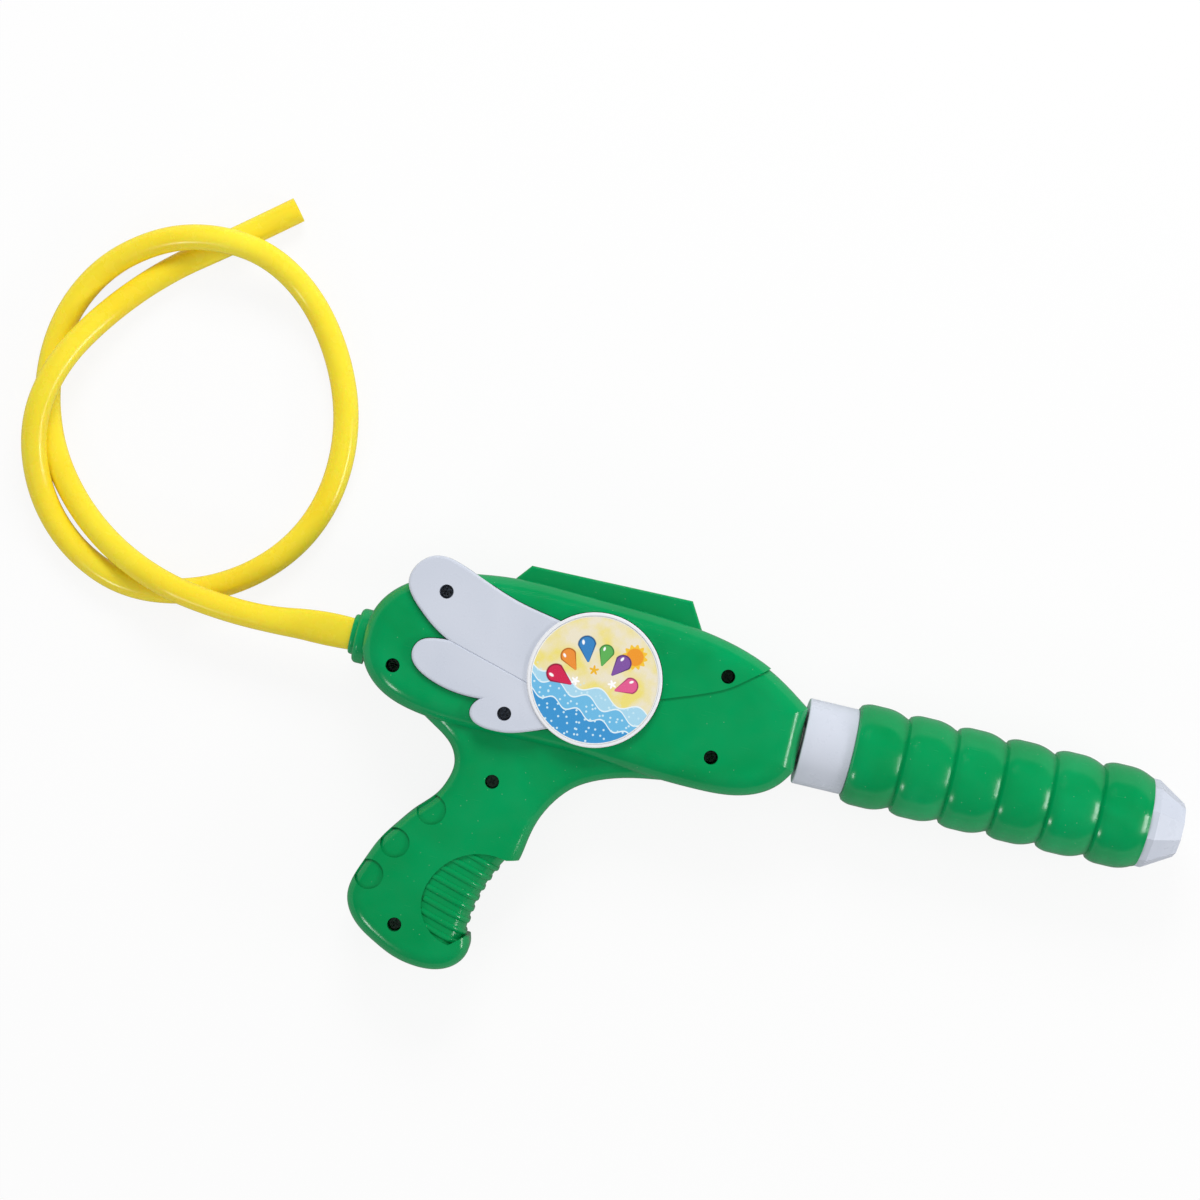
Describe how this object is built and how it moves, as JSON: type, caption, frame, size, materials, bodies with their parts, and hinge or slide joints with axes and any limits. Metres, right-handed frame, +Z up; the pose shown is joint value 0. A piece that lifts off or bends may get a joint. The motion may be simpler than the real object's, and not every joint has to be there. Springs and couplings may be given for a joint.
{
  "type": "water_squirter",
  "caption": "Pump-action water squirter of a backpack set, green and lilac, lying on its side, with its yellow hose",
  "frame": {"origin": "on the floor, under the middle of the squirter's bounding box without its hose", "axes": "+X along the barrel to the nozzle, +Y to the top rail, +Z up, out of the squirter's right side"},
  "size_m": [0.5144, 0.3025, 0.0459],
  "materials": {
    "green_abs": "gloss",
    "lilac_abs": "gloss",
    "printed_film": "satin",
    "zinc_steel": "satin",
    "yellow_pvc": "gloss",
    "natural_acetal": "satin",
    "black_rubber": "matte"
  },
  "bodies": {
    "squirter": {"right_shell": "green_abs", "left_shell": "green_abs", "wing_panel": "lilac_abs", "badge_label": "printed_film", "case_screws": "zinc_steel", "wing_screws": "zinc_steel", "hose_gland": "green_abs", "supply_hose": "yellow_pvc", "piston_rod": "natural_acetal", "piston_head": "natural_acetal", "piston_seal": "black_rubber", "inlet_cage": "natural_acetal"},
    "inlet_valve": {"inlet_ball": "black_rubber"},
    "pump_slide": {"rod_seal": "black_rubber"},
    "pump_handle": {"rear_collar": "lilac_abs", "seal_retainer": "natural_acetal", "barrel_gasket": "black_rubber", "barrel_tube": "natural_acetal", "grip_sleeve": "green_abs", "nozzle_cap": "lilac_abs", "nozzle_gasket": "black_rubber", "outlet_seat": "natural_acetal"},
    "outlet_valve": {"outlet_ball": "black_rubber"}
  },
  "joints": [
    {"name": "pump_stroke", "type": "slide", "parent": "squirter", "child": "pump_slide", "axis": [1, 0, 0], "range_m": [0, 0.11]},
    {"name": "handle_turn", "type": "hinge", "parent": "pump_slide", "child": "pump_handle", "pos_m": [0.0154, 0.04127, 0.02165], "axis": [1, 0, 0], "continuous": true},
    {"name": "inlet_lift", "type": "slide", "parent": "squirter", "child": "inlet_valve", "axis": [1, 0, 0], "range_m": [0, 0.001]},
    {"name": "outlet_lift", "type": "slide", "parent": "pump_handle", "child": "outlet_valve", "axis": [1, 0, 0], "range_m": [0, 0.0015]}
  ]
}
